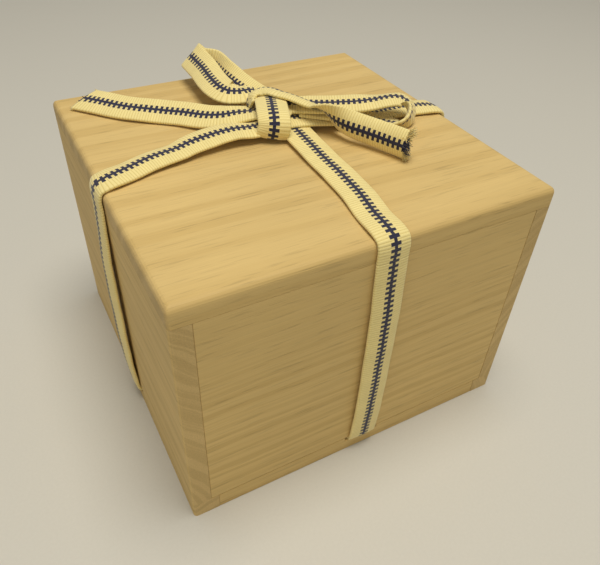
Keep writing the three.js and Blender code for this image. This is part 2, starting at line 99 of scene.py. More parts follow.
# Glass tea bowl
BOWL_BOTTOM = 16.15
BOWL_RIM_RADIUS = 59
BOWL_HEIGHT = 70
BOWL_WALL = 3.4
BOWL_FLOOR = 7
BOWL_HIP_RADIUS = 54
BOWL_HIP_HEIGHT = 30
BOWL_FOOT_RADIUS = 27
BOWL_FOOT_WALL = 5
BOWL_FOOT_HEIGHT = 6

# Wrapping cloth: a square laid cornerwise, so that its corners go up the walls
CLOTH_SIDE = 190
CLOTH_CELLS = 60
CLOTH_LEVEL = 14.5
CLOTH_THICKNESS = 0.9
CLOTH_ROOM_X = 62.6
CLOTH_ROOM_Y = 62.1
CLOTH_ROOM_TOP = 110
CLOTH_FRAMES = 40
THREAD_PITCH = 0.7

# Depths of the relief in the surfaces
GRAIN_RELIEF = 0.12
WEAVE_RELIEF = 0.14

# Camera, fitted to the photograph
FOCAL_LENGTH = 36.432
SENSOR_WIDTH = 36
CAMERA_PLACE = (-97.888, -185.613, 214.136)
CAMERA_RIGHT = (0.87892742, -0.4755446, 0.03665954)
CAMERA_DOWN = (-0.28573498, -0.58653317, -0.75784851)
CAMERA_FORWARD = (0.3818928, 0.65561892, -0.65139981)

rng = np.random.default_rng(7)


# Camera


def add_camera():
    camera = bpy.data.objects.new("camera", bpy.data.cameras.new("camera"))
    camera.data.lens = FOCAL_LENGTH
    camera.data.sensor_width = SENSOR_WIDTH
    camera.data.sensor_fit = "HORIZONTAL"
    camera.data.clip_start = 0.01
    right, down, forward = (
        Vector(v) for v in (CAMERA_RIGHT, CAMERA_DOWN, CAMERA_FORWARD)
    )
    turn = Matrix((right, -down, -forward)).transposed().to_4x4()
    camera.matrix_world = Matrix.Translation(Vector(CAMERA_PLACE) * MM) @ turn
    bpy.context.scene.collection.objects.link(camera)
    bpy.context.scene.camera = camera


add_camera()


# Materials


class Shader:
    """A material whose nodes are added one after another, each giving its output."""

    def __init__(self, name):
        self.material = bpy.data.materials.new(name)
        self.material.use_nodes = True
        self.tree = self.material.node_tree
        self.surface = self.tree.nodes["Principled BSDF"]
        self.coordinates = self.tree.nodes.new("ShaderNodeTexCoord")
        self.point = self.coordinates.outputs["Object"]

    def feed(self, socket, value):
        if isinstance(value, bpy.types.NodeSocket):
            self.tree.links.new(value, socket)
        else:
            socket.default_value = value

    def node(self, kind, inputs, **settings):
        made = self.tree.nodes.new("ShaderNode" + kind)
        for name, value in settings.items():
            setattr(made, name, value)
        for name, value in inputs.items():
            self.feed(made.inputs[name], value)
        return made

    def math(self, operation, *values, clamp=False):
        inputs = dict(enumerate(values))
        return self.node(
            "Math", inputs, operation=operation, use_clamp=clamp
        ).outputs[0]

    def parts(self, vector):
        made = self.node("SeparateXYZ", {0: vector})
        return [made.outputs[i] for i in range(3)]

    def joined(self, x, y, z):
        return self.node("CombineXYZ", {0: x, 1: y, 2: z}).outputs[0]

    def noise(self, vector, scale, detail=2.0, roughness=0.5):
        inputs = {
            "Vector": vector,
            "Scale": scale,
            "Detail": detail,
            "Roughness": roughness,
        }
        return self.node("TexNoise", inputs).outputs["Fac"]

    def noise_along(self, value, detail=2.0, roughness=0.5):
        inputs = {"W": value, "Scale": 1.0, "Detail": detail, "Roughness": roughness}
        return self.node("TexNoise", inputs, noise_dimensions="1D").outputs["Fac"]

    def step(self, value, start, end):
        """0 before start, 1 after end, and smooth between them."""
        inputs = {"Value": value, "From Min": start, "From Max": end}
        made = self.node("MapRange", inputs, interpolation_type="SMOOTHSTEP")
        return made.outputs[0]

    def mix(self, factor, a, b):
        made = self.node("Mix", {0: factor, 6: a, 7: b}, data_type="RGBA")
        return made.outputs[2]

    def shade(self, colour, factor):
        made = self.node(
            "Mix", {0: 1.0, 6: colour}, data_type="RGBA", blend_type="MULTIPLY"
        )
        self.feed(made.inputs[7], self.joined(factor, factor, factor))
        return made.outputs[2]

    def bump(self, height, distance, strength=1.0, normal=None):
        inputs = {"Height": height, "Distance": distance, "Strength": strength}
        if normal is not None:
            inputs["Normal"] = normal
        return self.node("Bump", inputs).outputs[0]

    def finish(self, **values):
        for name, value in values.items():
            self.feed(self.surface.inputs[name.replace("_", " ")], value)
        return self.material


WOOD_LIGHT = (0.68, 0.485, 0.185, 1)
WOOD_DARK = (0.54, 0.36, 0.115, 1)
INNER_LIGHT = (0.74, 0.56, 0.26, 1)
INNER_DARK = (0.62, 0.44, 0.18, 1)
END_GRAIN_LIGHT = (0.90, 0.90, 0.96, 1.0)
END_GRAIN_DARK = (0.86, 0.88, 0.98, 1.0)
# Cord colours: the dark one is painted shade in the valleys between the ribs, and also the
# darker strands of the loose threads
CREAM_LIGHT = (0.87, 0.725, 0.30, 1)
CREAM_SHADE_AND_DARK_STRANDS = (0.74, 0.585, 0.205, 1)
NAVY = (0.010, 0.010, 0.026, 1)
NAVY_LIGHT = (0.028, 0.026, 0.062, 1)
GLASS_FOOT = (0.78, 0.93, 0.90, 1)
GLASS_RIM = (0.95, 0.985, 0.98, 1)
TINT_LOW = 0.016
TINT_HIGH = 0.086
COTTON_DARK = (0.70, 0.38, 0.045, 1)
COTTON_LIGHT = (0.86, 0.52, 0.09, 1)
FLOOR_DARK = (0.60, 0.575, 0.49, 1)
FLOOR_LIGHT = (0.64, 0.615, 0.53, 1)
DAYLIGHT = (1.0, 0.97, 0.92)
FILL_LIGHT = (1.0, 0.96, 0.9)


def wood(
    name, along, heart, light, dark, seed, band_contrast=1.0, calm_above=None, ring_rate=300.0
):
    """Paulownia board. along is the axis of the grain, 0 for x or 1 for y, and heart the place
    of the tree's middle across the grain, in metres. Bands fade above the height calm_above,
    and a higher ring_rate brings them closer together."""
    s = Shader(name)
    x, y, z = s.parts(s.point)
    grain, across, up = (x, y, z) if along == 0 else (y, x, z)
    drift_along, drift_across, drift_reach = 7.0, 22.0, 0.009
    slow = s.joined(
        s.math("MULTIPLY_ADD", grain, drift_along, seed),
        s.math("MULTIPLY", across, drift_across),
        s.math("MULTIPLY", up, drift_across),
    )
    drift = s.math("MULTIPLY", s.noise(slow, 1.0, 3.0), drift_reach)
    a = s.math("SUBTRACT", across, heart[0])
    b = s.math("SUBTRACT", up, heart[1])
    reach = s.math("SQRT", s.math("MULTIPLY_ADD", a, a, s.math("MULTIPLY", b, b)))
    reach = s.math("ADD", reach, drift)
    rings = s.noise_along(s.math("MULTIPLY_ADD", reach, ring_rate, seed), 2.0, 0.5)
    pale_wood, dark_wood = 0.42, 0.62
    band = s.step(rings, pale_wood, dark_wood)
    fibre_along, fibre_across = 28.0, 2600.0
    fibre_at = s.joined(
        s.math("MULTIPLY", grain, fibre_along),
        s.math("MULTIPLY_ADD", across, fibre_across, seed),
        s.math("MULTIPLY", up, fibre_across),
    )
    fibre = s.noise(fibre_at, 1.0, 2.0)
    pore_along, pore_across = 75.0, 1500.0
    pore_at = s.joined(
        s.math("MULTIPLY", grain, pore_along),
        s.math("MULTIPLY", across, pore_across),
        s.math("MULTIPLY_ADD", up, pore_across, seed),
    )
    pores = s.step(s.noise(pore_at, 1.0, 1.0), 0.58, 0.72)
    pores = s.math("MULTIPLY", pores, s.math("MULTIPLY_ADD", band, 0.4, 0.6))
    patch = s.noise(s.point, 14.0, 3.0)
    facing = s.parts(s.coordinates.outputs["Normal"])[along]
    end = s.step(s.math("ABSOLUTE", facing), 0.6, 0.8)
    end_rings = s.math("MULTIPLY", s.step(rings, 0.4, 0.56), 0.5)
    dots = s.noise(s.point, 2300.0, 1.0)
    long_tone = s.math("MULTIPLY", band, band_contrast)
    if calm_above is not None:
        fade_height, faded = 0.03, 0.75
        fading = s.step(up, calm_above, calm_above + fade_height)
        left_over = s.math("MULTIPLY_ADD", fading, -faded, 1.0)
        long_tone = s.math("MULTIPLY", long_tone, left_over)
    colour = s.mix(long_tone, light, dark)
    end_colour = s.mix(
        end_rings,
        tuple(c * k for c, k in zip(light, END_GRAIN_LIGHT)),
        tuple(c * k for c, k in zip(dark, END_GRAIN_DARK)),
    )
    colour = s.mix(end, colour, end_colour)
    fibre_depth, patch_depth, pore_depth, dot_depth = 0.2, 0.22, 0.17, 0.35
    tone = s.math("MULTIPLY_ADD", fibre, fibre_depth, 0.9)
    tone = s.math("MULTIPLY_ADD", s.math("SUBTRACT", patch, 0.5), patch_depth, tone)
    pore_tone = s.math("MULTIPLY", pores, s.math("SUBTRACT", 1.0, end))
    tone = s.math("MULTIPLY_ADD", pore_tone, -pore_depth, tone)
    dot_tone = s.math("MULTIPLY", s.math("SUBTRACT", dots, 0.5), end)
    tone = s.math("MULTIPLY_ADD", dot_tone, dot_depth, tone)
    colour = s.shade(colour, tone)
    relief = s.math("MULTIPLY_ADD", pores, -0.8, s.math("MULTIPLY", fibre, 0.5))
    relief = s.math("MULTIPLY_ADD", dot_tone, 0.6, relief)
    rough = s.math("MULTIPLY_ADD", fibre, 0.14, 0.56)
    return s.finish(
        Base_Color=colour,
        Roughness=rough,
        Specular_IOR_Level=0.35,
        Normal=s.bump(relief, GRAIN_RELIEF * MM, 0.5),
    )


def weave():
    """The flat cord: ribbed across, with painted shade in the valleys between its ribs, and a
    navy spine and bars woven through it.
    """
    s = Shader("cord_weave")
    run = s.node("Attribute", {}, attribute_name="run").outputs["Fac"]
    side = s.node("Attribute", {}, attribute_name="side").outputs["Fac"]
    wander_rate, wander_width = 900.0, 0.0004
    wander_at = s.joined(s.math("MULTIPLY", run, wander_rate), side, 0.0)
    wander = s.math("SUBTRACT", s.noise(wander_at, 1.0, 1.0), 0.5)
    off = s.math("ABSOLUTE", s.math("MULTIPLY_ADD", wander, wander_width, side))
    turns = s.math("MULTIPLY", run, 1 / (BAR_PITCH * MM))
    wave = s.math("COSINE", s.math("MULTIPLY", turns, 2 * math.pi))
    bar = s.step(wave, -0.3, -0.02)

    def within(edge):
        start, end = (share * CORD_WIDTH * MM for share in edge)
        return s.math("SUBTRACT", 1.0, s.step(off, start, end))

    bars = s.math("MULTIPLY", bar, within(BAR_EDGE))
    navy = s.math("MAXIMUM", within(SPINE_EDGE), bars)
    ribs = s.math("ABSOLUTE", s.math("SINE", s.math("MULTIPLY", turns, 2 * math.pi)))
    along_rate, across_rate = 2200.0, 5200.0
    threads_at = s.joined(
        s.math("MULTIPLY", run, along_rate), s.math("MULTIPLY", side, across_rate), 0.0
    )
    threads = s.noise(threads_at, 1.0, 2.0)
    patch = s.noise(s.joined(s.math("MULTIPLY", run, 60.0), side, 0.0), 3.0, 2.0)
    # Darker in the valleys between the ribs: painted shade in the grooves
    groove_shaded_cream = s.mix(s.step(ribs, 0.05, 0.75), CREAM_SHADE_AND_DARK_STRANDS, CREAM_LIGHT)
    blue = s.mix(threads, NAVY, NAVY_LIGHT)
    colour = s.mix(navy, groove_shaded_cream, blue)
    tone = s.math("MULTIPLY_ADD", s.math("SUBTRACT", threads, 0.5), 0.34, 1.0)
    tone = s.math("MULTIPLY_ADD", s.math("SUBTRACT", patch, 0.5), 0.18, tone)
    colour = s.shade(colour, tone)
    relief = s.math("MULTIPLY_ADD", threads, 0.35, ribs)
    return s.finish(
        Base_Color=colour,
        Roughness=0.72,
        Specular_IOR_Level=0.3,
        Sheen_Weight=0.25,
        Sheen_Roughness=0.5,
        Normal=s.bump(relief, WEAVE_RELIEF * MM, 0.7),
    )


def yarn(name, light, dark):
    s = Shader(name)
    strands = s.noise(s.point, 3800.0, 2.0)
    colour = s.mix(strands, dark, light)
    return s.finish(
        Base_Color=colour,
        Roughness=0.8,
        Sheen_Weight=0.3,
        Normal=s.bump(strands, 0.0001, 0.6),
    )


def glass():
    s = Shader("bowl_glass")
    waves = s.noise(s.point, 55.0, 2.0)
    z = s.parts(s.point)[2]
    tint = s.mix(s.step(z, TINT_LOW, TINT_HIGH), GLASS_FOOT, GLASS_RIM)
    return s.finish(
        Base_Color=tint,
        Roughness=0.03,
        IOR=1.5,
        Transmission_Weight=1.0,
        Normal=s.bump(waves, 0.0006, 0.35),
    )


def cotton():
    s = Shader("cloth_cotton")
    lie = s.node("Attribute", {}, attribute_name="lie").outputs["Vector"]
    x, y = s.parts(lie)[:2]
    thread_rate = 2 * math.pi / (THREAD_PITCH * MM)
    warp = s.math("SINE", s.math("MULTIPLY", x, thread_rate))
    weft = s.math("SINE", s.math("MULTIPLY", y, thread_rate))
    cloth = s.math("MULTIPLY", warp, weft)
    slubs = s.noise(
        s.joined(s.math("MULTIPLY", x, 150.0), s.math("MULTIPLY", y, 2400.0), 0.0),
        1.0,
        2.0,
    )
    patch = s.noise(s.point, 25.0, 3.0)
    colour = s.mix(slubs, COTTON_DARK, COTTON_LIGHT)
    tone = s.math("MULTIPLY_ADD", cloth, 0.06, 0.95)
    tone = s.math("MULTIPLY_ADD", s.math("SUBTRACT", patch, 0.5), 0.15, tone)
    return s.finish(
        Base_Color=s.shade(colour, tone),
        Roughness=0.85,
        Sheen_Weight=0.3,
        Normal=s.bump(s.math("ADD", cloth, slubs), 0.0001, 0.5),
    )


lid_wood = wood(
    "lid_wood", 0, (-0.15, 0.02), WOOD_LIGHT, WOOD_DARK, 3.1, 0.42, ring_rate=150.0
)
front_wood = wood("front_wood", 0, (-0.09, -0.2), WOOD_LIGHT, WOOD_DARK, 11.7, 0.5, 0.055)
back_wood = wood("back_wood", 0, (0.09, -0.22), WOOD_LIGHT, WOOD_DARK, 5.3, 0.5, 0.06)
left_wood = wood("left_wood", 1, (-0.15, -0.02), WOOD_LIGHT, WOOD_DARK, 21.9, 0.4)
right_wood = wood("right_wood", 1, (0.15, -0.02), WOOD_LIGHT, WOOD_DARK, 17.3, 0.5)
foot_wood = wood("foot_wood", 0, (0.01, -0.06), WOOD_LIGHT, WOOD_DARK, 29.3, 0.6)
foot_side_wood = wood("foot_side_wood", 1, (-0.05, -0.05), WOOD_LIGHT, WOOD_DARK, 31.1, 0.6)
base_wood = wood("base_wood", 0, (0.0, -0.05), INNER_LIGHT, INNER_DARK, 37.7)
batten_wood = wood("batten_wood", 0, (0.04, 0.03), INNER_LIGHT, INNER_DARK, 41.3)
batten_side_wood = wood(
    "batten_side_wood", 1, (0.04, 0.03), INNER_LIGHT, INNER_DARK, 43.9
)

NODE_WOODS = {
    "lid_board": lid_wood,
    "wall_front": front_wood,
    "wall_back": back_wood,
    "wall_left": left_wood,
    "wall_right": right_wood,
    "foot_front": foot_wood,
    "foot_back": foot_wood,
    "foot_left": foot_side_wood,
    "foot_right": foot_side_wood,
    "base_board": base_wood,
    "batten_front": batten_wood,
    "batten_back": batten_wood,
    "batten_left": batten_side_wood,
    "batten_right": batten_side_wood,
}


def finish_wood():
    for name, material in NODE_WOODS.items():
        node = nodes[name]
        for slot in node.material_slots:
            slot.material = material
        weld = node.modifiers.new("weld", "WELD")
        weld.merge_threshold = 0.00001
        bevel = node.modifiers.new("eased_edges", "BEVEL")
        bevel.width = EASED_EDGE * MM
        bevel.segments = 2
        bevel.limit_method = "ANGLE"
        bevel.angle_limit = math.radians(30)
        bevel.harden_normals = True


finish_wood()


# Cord


def sagitta(bow):
    return (CORD_WIDTH / bow) * (1 - math.cos(bow / 2))


def catmull(points, per_stop):
    """Points of the centripetal curve through the given ones, per_stop to each stretch."""
    out = []
    last = len(points) - 1
    for i in range(last):
        p1, p2 = points[i], points[i + 1]
        p0 = points[i - 1] if i > 0 else 2 * p1 - p2
        p3 = points[i + 2] if i + 2 <= last else 2 * p2 - p1
        d0, d1, d2 = (
            np.sum((q - p) ** 2) ** 0.25 for p, q in ((p0, p1), (p1, p2), (p2, p3))
        )
        d1 = d1 if d1 > 1e-4 else 1.0
        d0 = d0 if d0 > 1e-4 else d1
        d2 = d2 if d2 > 1e-4 else d1
        t1 = ((p1 - p0) / d0 - (p2 - p0) / (d0 + d1) + (p2 - p1) / d1) * d1
        t2 = ((p2 - p1) / d1 - (p3 - p1) / (d1 + d2) + (p3 - p2) / d2) * d1
        for k in range(per_stop):
            t = k / per_stop
            square = (-3 * p1 + 3 * p2 - 2 * t1 - t2) * t * t
            out.append(p1 + t1 * t + square + (2 * p1 - 2 * p2 + t1 + t2) * t**3)
    out.append(points[-1])
    return np.array(out)


class Route:
    """A flat cord's route in rows an even step apart: point, along, side, up, bow and run."""

    def __init__(self, stops):
        stops = np.array(stops, float)
        per_stop = 24
        points = catmull(stops[:, :3], per_stop)
        sides = stops[:, 3:6] / np.linalg.norm(stops[:, 3:6], axis=1)[:, None]
        sides = catmull(sides, per_stop)
        at = np.linspace(0, len(stops) - 1, len(points))
        bows = np.interp(at, np.arange(len(stops)), stops[:, 6])
        run = np.concatenate(
            [[0], np.cumsum(np.linalg.norm(np.diff(points, axis=0), axis=1))]
        )
        self.run = np.linspace(0, run[-1], max(2, round(run[-1] / ROW_STEP)) + 1)

        def even(values):
            return np.stack([np.interp(self.run, run, v) for v in values.T], axis=1)

        self.point = even(points)
        self.bow = np.interp(self.run, run, bows)
        along = np.gradient(self.point, axis=0)
        self.along = along / np.linalg.norm(along, axis=1)[:, None]
        side = even(sides)
        side -= (side * self.along).sum(1)[:, None] * self.along
        self.side = side / np.linalg.norm(side, axis=1)[:, None]
        self.up = np.cross(self.along, self.side)

    def length(self):
        return self.run[-1] * MM

    def rows(self, first=0, last=None):
        part = object.__new__(Route)
        for name in ("point", "along", "side", "up", "bow", "run"):
            setattr(part, name, getattr(self, name)[first:last])
        return part


def section():
    """Points round the cord's cut: across it, out of it, each once round."""
    half = CORD_WIDTH / 2
    round_end = CORD_THICKNESS / 2
    turns = np.radians([90, 67.5, 45, 22.5])
    rim = [
        (half - round_end + round_end * math.sin(t), round_end * math.cos(t))
        for t in turns
    ]
    flat = np.linspace(-(half - round_end), half - round_end, 17)
    upper = [(-u, v) for u, v in rim]
    upper += [(u, round_end) for u in flat]
    upper += [(u, v) for u, v in reversed(rim)]
    lower = [(u, -v) for u, v in reversed(upper[1:-1])]
    return np.array(upper + lower)


SECTION = section()


def bent(route, slant=0.0, slant_reach=9.0):
    """The cord's skin along its route, rows by section points, in millimetres."""
    across, out = SECTION[:, 0], SECTION[:, 1]
    bow = np.where(np.abs(route.bow) < 0.01, 0.01, route.bow)
    radius = CORD_WIDTH / bow[:, None]
    turn = across[None, :] / radius
    reach = radius + out[None, :]
    u = reach * np.sin(turn)
    v = reach * np.cos(turn) - radius
    run = route.run[:, None]
    ripple = np.sin(run / 4.3 + across / 5.1) * np.sin(run / 7.9 - across / 3.7)
    v = v + WRINKLE * ripple
    skew = slant * across[None, :] * np.clip(1 - run / slant_reach, 0, 1)
    skin = route.point[:, None, :] + route.side[:, None, :] * u[..., None]
    skin = skin + route.up[:, None, :] * v[..., None]
    return skin + route.along[:, None, :] * skew[..., None]


def mesh_piece(name, vertices, faces, materials, smooth=True):
    mesh = bpy.data.meshes.new(name)
    mesh.from_pydata((np.asarray(vertices) * MM).tolist(), [], faces)
    mesh.validate()
    for material in materials:
        mesh.materials.append(material)
    for polygon in mesh.polygons:
        polygon.use_smooth = smooth
    piece = bpy.data.objects.new(name, mesh)
    bpy.context.scene.collection.objects.link(piece)
    return piece


def set_point_values(piece, name, values):
    attribute = piece.data.attributes.new(name, "FLOAT", "POINT")
    attribute.data.foreach_set("value", np.asarray(values, np.float32).ravel())


def cord_piece(name, route, body="lid", slant=0.0):
    skin = bent(route, slant)
    rows, count = skin.shape[:2]
    index = np.arange(rows * count).reshape(rows, count)
    after = np.roll(index, -1, axis=1)
    quads = np.stack([index[:-1], index[1:], after[1:], after[:-1]], axis=-1)
    faces = quads.reshape(-1, 4).tolist()
    faces.append(index[0].tolist())
    faces.append(index[-1][::-1].tolist())
    piece = mesh_piece(name, skin.reshape(-1, 3), faces, [cord_weave])
    set_point_values(piece, "run", np.repeat(route.run * MM, count))
    set_point_values(piece, "side", np.tile(SECTION[:, 0] * MM, rows))
    if body:
        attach(piece, body)
    return piece


def on_lid(stops):
    return [[x, y, BOX_HEIGHT + rise, *rest] for x, y, rise, *rest in stops]


def wrap(half, shifts_up, shifts_down, place, across, wall_bow, under, lid_stops):
    """A closed turn of cord: out of the first side's groove, up its wall, over the lid, down
    the other wall and back under the box. place puts a distance out and a shift into x and y."""
    edge_out = half + CORD_STANDOFF + sagitta(BOW_AT_EDGE)
    wall_out = half + CORD_STANDOFF + sagitta(wall_bow)
    low, high = FOOT_SEAM, LID_UNDERSIDE - LID_SEAM_GAP
    turn = half - LID_EDGE_RADIUS
    bend = edge_out - turn
    slant = bend * math.sqrt(0.5)
    level = BOX_HEIGHT - LID_EDGE_RADIUS

    def climb(sign, shifts):
        bottom, quarter, middle, upper, top = shifts
        rise = high - low
        bulge = CORD_BULGE * BULGE_AT_QUARTER
        raw = [
            (half - 9, bottom, CORD_GROOVE_LEVEL, 0.02),
            (half - 2.5, bottom, CORD_GROOVE_LEVEL, 0.05),
            (half + 0.2, bottom, CORD_GROOVE_LEVEL + 0.1, 0.1),
            (edge_out - 0.5, bottom, CORD_GROOVE_LEVEL + 1.1, 0.2),
            (edge_out, bottom, CORD_GROOVE_LEVEL + 3.2, BOW_AT_EDGE),
            (wall_out + bulge, quarter, low + rise / 4, wall_bow),
            (wall_out + CORD_BULGE, middle, low + rise / 2, wall_bow),
            (wall_out + bulge, upper, low + rise * 3 / 4, wall_bow),
            (edge_out, top, high, BOW_AT_EDGE),
            (edge_out, top, level, BOW_AT_EDGE),
            (turn + slant, top, level + slant, BOW_AT_EDGE),
            (turn, top, level + bend, BOW_AT_EDGE),
        ]
        return [
            [*place(sign * out, shift), z, *across, bow] for out, shift, z, bow in raw
        ]

    first = climb(-1, shifts_up)
    second = climb(1, shifts_down)[::-1]
    return Route(first + on_lid(lid_stops) + second + under + [first[0]])


def wrap_pieces(route, axis, names):
    """Cuts a turn of cord at the lid's seam and in the grooves, as its nodes are."""
    x, z = route.point[:, axis], route.point[:, 2]
    half = HALF_WIDTH if axis == 0 else HALF_DEPTH
    top = np.flatnonzero(z > LID_UNDERSIDE)
    end = np.flatnonzero((x > half - GROOVE_CUT) & (z < LID_UNDERSIDE))[-1]
    first, last = top[0], top[-1]
    up_side, over, down_side, under = names
    for name, rows in (
        (up_side, route.rows(0, first + 1)),
        (down_side, route.rows(last, end + 1)),
    ):
        piece = cord_piece(f"woven_{name}", rows, body=None)
        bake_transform(piece)
        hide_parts(name)
    piece = cord_piece(f"woven_{over}", route.rows(first, last + 1), "lid")
    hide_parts(over)
    piece = cord_piece(f"woven_{under}", route.rows(end), "box")
    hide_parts(under)


# Stops of the cord over the lid and in the bow. Each holds x, y, the rise above the lid, the
# direction across the cord as x, y and z, and the angle in radians that its section bends by.
FRONT_BACK_STOPS = [
    [2.2, -58, 1.6, -1, 0, 0, 0.5],
    [4, -46, 1.8, -1, 0, 0, 0.5],
    [4.7, -34, 1.9, -1, 0, 0, 0.5],
    [4.9, -22, 2, -1, 0, 0, 0.4],
    [5.3, -10, 2.2, -1, 0, 0, 0.3],
    [5.6, 0, 2.4, -1, 0, 0, 0.1],
    [5.6, 8, 2.4, -1, 0, 0, 0],
    [5.4, 18, 2.2, -1, 0, 0, 0.1],
    [4.4, 34, 1.9, -1, 0, 0, 0.4],
    [3.2, 52, 1.7, -1, 0, 0, 0.5],
]
LEFT_RIGHT_STOPS = [
    [-60, -0.6, 2.2, 0, 1, 0, 0.8],
    [-52, 2, 2.6, 0, 1, 0, 0.9],
    [-40, 4.5, 3, 0, 1, 0, 0.9],
    [-35.7, 5.6, 3.4, 0, 1, 0.05, 0.8],
    [-28.8, 6.6, 3.9, 0, 1, 0.08, 0.6],
    [-23.1, 7.2, 4.2, 0, 1, 0.05, 0.5],
    [-16.7, 7.2, 4.2, 0, 1, 0.02, 0.4],
    [-10.9, 6.4, 4.1, 0, 1, 0, 0.7],
    [-5, 6.6, 4.3, 0, 1, 0, 1.1],
    [3, 7, 4.6, 0, 1, 0, 0.8],
    [11.4, 5.9, 4.1, 0, 1, 0, 0.4],
    [22.3, 3.8, 3.2, 0, 1, 0, 0.6],
    [33.8, 2.4, 2.6, 0, 1, 0, 0.8],
    [46.5, 1.9, 2.4, 0, 1, 0, 0.8],
    [60, 0.9, 2.1, 0, 1, 0, 0.7],
]
BAND_STOPS = [
    [-5.1, -0.6, 2, -0.88, 0.47, 0, 0.3],
    [-5.2, -1.5, 3.7, -0.88, 0.47, 0, 0.5],
    [-4.9, -1.8, 5.8, -0.88, 0.47, 0, 0.6],
    [-4.4, -1.1, 8, -0.88, 0.47, 0, 0.6],
    [-3.6, 1.1, 9.6, -0.88, 0.47, 0, 0.5],
    [-2.2, 5.1, 10.6, -0.88, 0.47, 0, 0.4],
    [0.2, 11.3, 10.6, -0.88, 0.47, 0, 0.4],
    [3.3, 19.7, 9.2, -0.88, 0.47, 0, 0.3],
]
LEFT_LOOP_STOPS = [
    [1.2, 28.4, 7.9, 0.28, 0.95, 0.08, -1.1],
    [-2.2, 29.2, 8, 0.28, 0.95, 0.1, -1.1],
    [-3.7, 28.9, 8.1, 0.26, 0.95, 0.14, -1],
    [-6.8, 30, 8.1, 0.41, 0.89, 0.22, -0.8],
    [-9.5, 31.5, 8.4, 0.76, 0.56, 0.33, -0.4],
    [-11.1, 35.3, 8.8, 0.94, 0.14, 0.32, -0.3],
    [-11.5, 42.7, 9.4, 0.93, -0.03, 0.36, -0.4],
    [-11.1, 52.3, 10.2, 0.86, -0.12, 0.5, -0.4],
    [-11.2, 60.5, 10.7, 0.78, -0.1, 0.62, -0.2],
    [-11.3, 65.4, 11, 0.72, -0.1, 0.7, 0],
    [-10.2, 67.6, 10.3, 0.71, 0, 0.71, 0],
    [-9.1, 66.1, 9.3, 0.64, 0, 0.77, 0],
    [-8, 61.2, 9.2, 0.35, 0.02, 0.93, 0.1],
    [-3.8, 57.9, 8.8, 0.35, 0.05, 0.93, 0.1],
    [-3.4, 48.3, 8.2, 0.6, 0.05, 0.8, 0.1],
    [-2.2, 38.9, 7.4, 0.86, 0.11, 0.5, 0.1],
    [-0.2, 31.4, 6.4, 0.87, 0.2, 0.46, 0.1],
    [1.9, 24.6, 5.8, 0.88, 0.24, 0.4, 0.1],
]
RIGHT_LOOP_STOPS = [
    [6.8, 13.1, 7.4, 0.43, 0.9, 0.06, 0.3],
    [13.4, 9.8, 7.9, 0.46, 0.88, 0.1, 0.4],
    [19.5, 6.4, 8.2, 0.46, 0.88, 0.13, 0.4],
    [25.7, 3.3, 8.5, 0.45, 0.88, 0.13, 0.4],
    [30.9, 0.4, 9, 0.44, 0.89, 0.13, 0.4],
    [36.4, -2.1, 9.8, 0.36, 0.93, 0.04, 0.6],
    [42.2, -4, 10.6, 0.33, 0.94, -0.07, 0.9],
    [46.3, -5.5, 10.8, 0.4, 0.92, -0.05, 0.8],
    [49, -7, 10.1, 0.69, 0.73, -0.05, 0.6],
    [50, -9.2, 8.6, 0.88, 0.31, -0.37, 0.4],
    [49.2, -11.4, 6.9, 0.54, 0.08, -0.84, 0.2],
    [46.3, -13.8, 5.8, 0.11, 0.4, -0.91, 0.1],
    [43.2, -14.3, 4.9, 0.35, 0.78, -0.52, 0.1],
    [41, -12.5, 4.1, 0.72, 0.67, -0.21, 0.1],
    [38.5, -9.6, 3.7, 0.77, 0.63, -0.09, 0.1],
    [35.4, -5.8, 3.5, 0.71, 0.7, 0, 0.1],
    [31.2, -2.2, 4.1, 0.6, 0.8, 0.05, 0.1],
    [25.6, 1.6, 4.8, 0.56, 0.83, 0.05, 0.1],
    [19.6, 5.5, 5.3, 0.54, 0.84, 0.06, 0.1],
    [12.3, 10, 5.6, 0.52, 0.85, 0.02, 0.1],
]
LEFT_TAIL_STOPS = [
    [-60, 58, 3.4, 0.5, 0.7, 0.3, 0.3],
    [-56, 53.5, 3.4, 0.45, 0.75, 0.3, 0.3],
    [-47, 43.7, 3.4, 0.45, 0.75, 0.3, 0.3],
    [-29.7, 30.6, 3.4, 0.59, 0.72, 0.35, 0.3],
    [-22.2, 23.2, 3.9, 0.6, 0.73, 0.33, 0.3],
    [-16.8, 19.4, 4.5, 0.41, 0.87, 0.26, 0.3],
    [-10.9, 17.4, 5.2, 0.34, 0.94, 0.08, 0.4],
    [-5.9, 15.3, 5.8, 0.33, 0.94, -0.06, 0.4],
    [-1.4, 14.1, 6, 0.26, 0.96, -0.1, 0.3],
]
